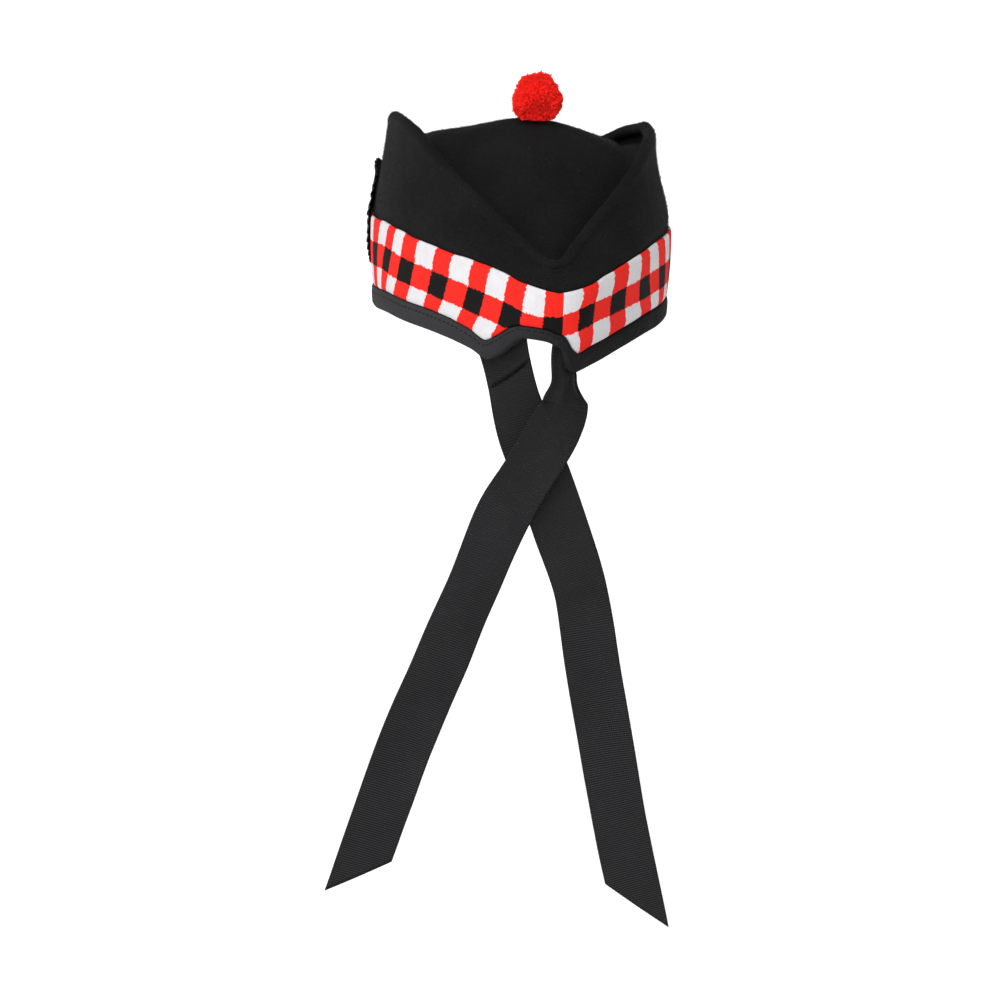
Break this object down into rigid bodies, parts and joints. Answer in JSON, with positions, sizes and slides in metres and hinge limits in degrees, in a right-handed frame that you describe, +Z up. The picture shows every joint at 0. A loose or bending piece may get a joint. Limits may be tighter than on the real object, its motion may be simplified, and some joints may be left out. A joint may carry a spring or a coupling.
{
  "type": "glengarry cap",
  "caption": "Boat-shaped felt cap with a creased crown, diced band, bound rim, side cockade, pompom and crossed hanging tails.",
  "frame": {"origin": "where the cap sits on a head: middle of the rim's lower edge, level with that edge at the back corner", "axes": "+Z up through the crown, -Y to the front of the cap, +X to the wearer's left, where the cockade is; the tails hang from the back at +Y"},
  "size_m": [0.1843, 0.2502, 0.4404],
  "materials": {
    "felt_black": "black wool felt, matt, with short fuzz",
    "crown_felt": "black wool felt, matt, with short fuzz",
    "diced_cloth": "woven wool checks in red, white and black, matt",
    "binding_black": "black woven binding tape, low sheen",
    "ribbon_black": "black ribbed ribbon, low sheen",
    "yarn_red": "cut red wool yarn, matt",
    "cockade_black": "black gathered ribbon, low sheen"
  },
  "bodies": {
    "root": {"side_panels": "felt_black", "crown_panel": "crown_felt", "diced_band": "diced_cloth", "edge_binding": "binding_black", "ribbon_left": "ribbon_black", "ribbon_right": "ribbon_black", "toorie": "yarn_red", "cockade": "cockade_black"}
  },
  "joints": []
}
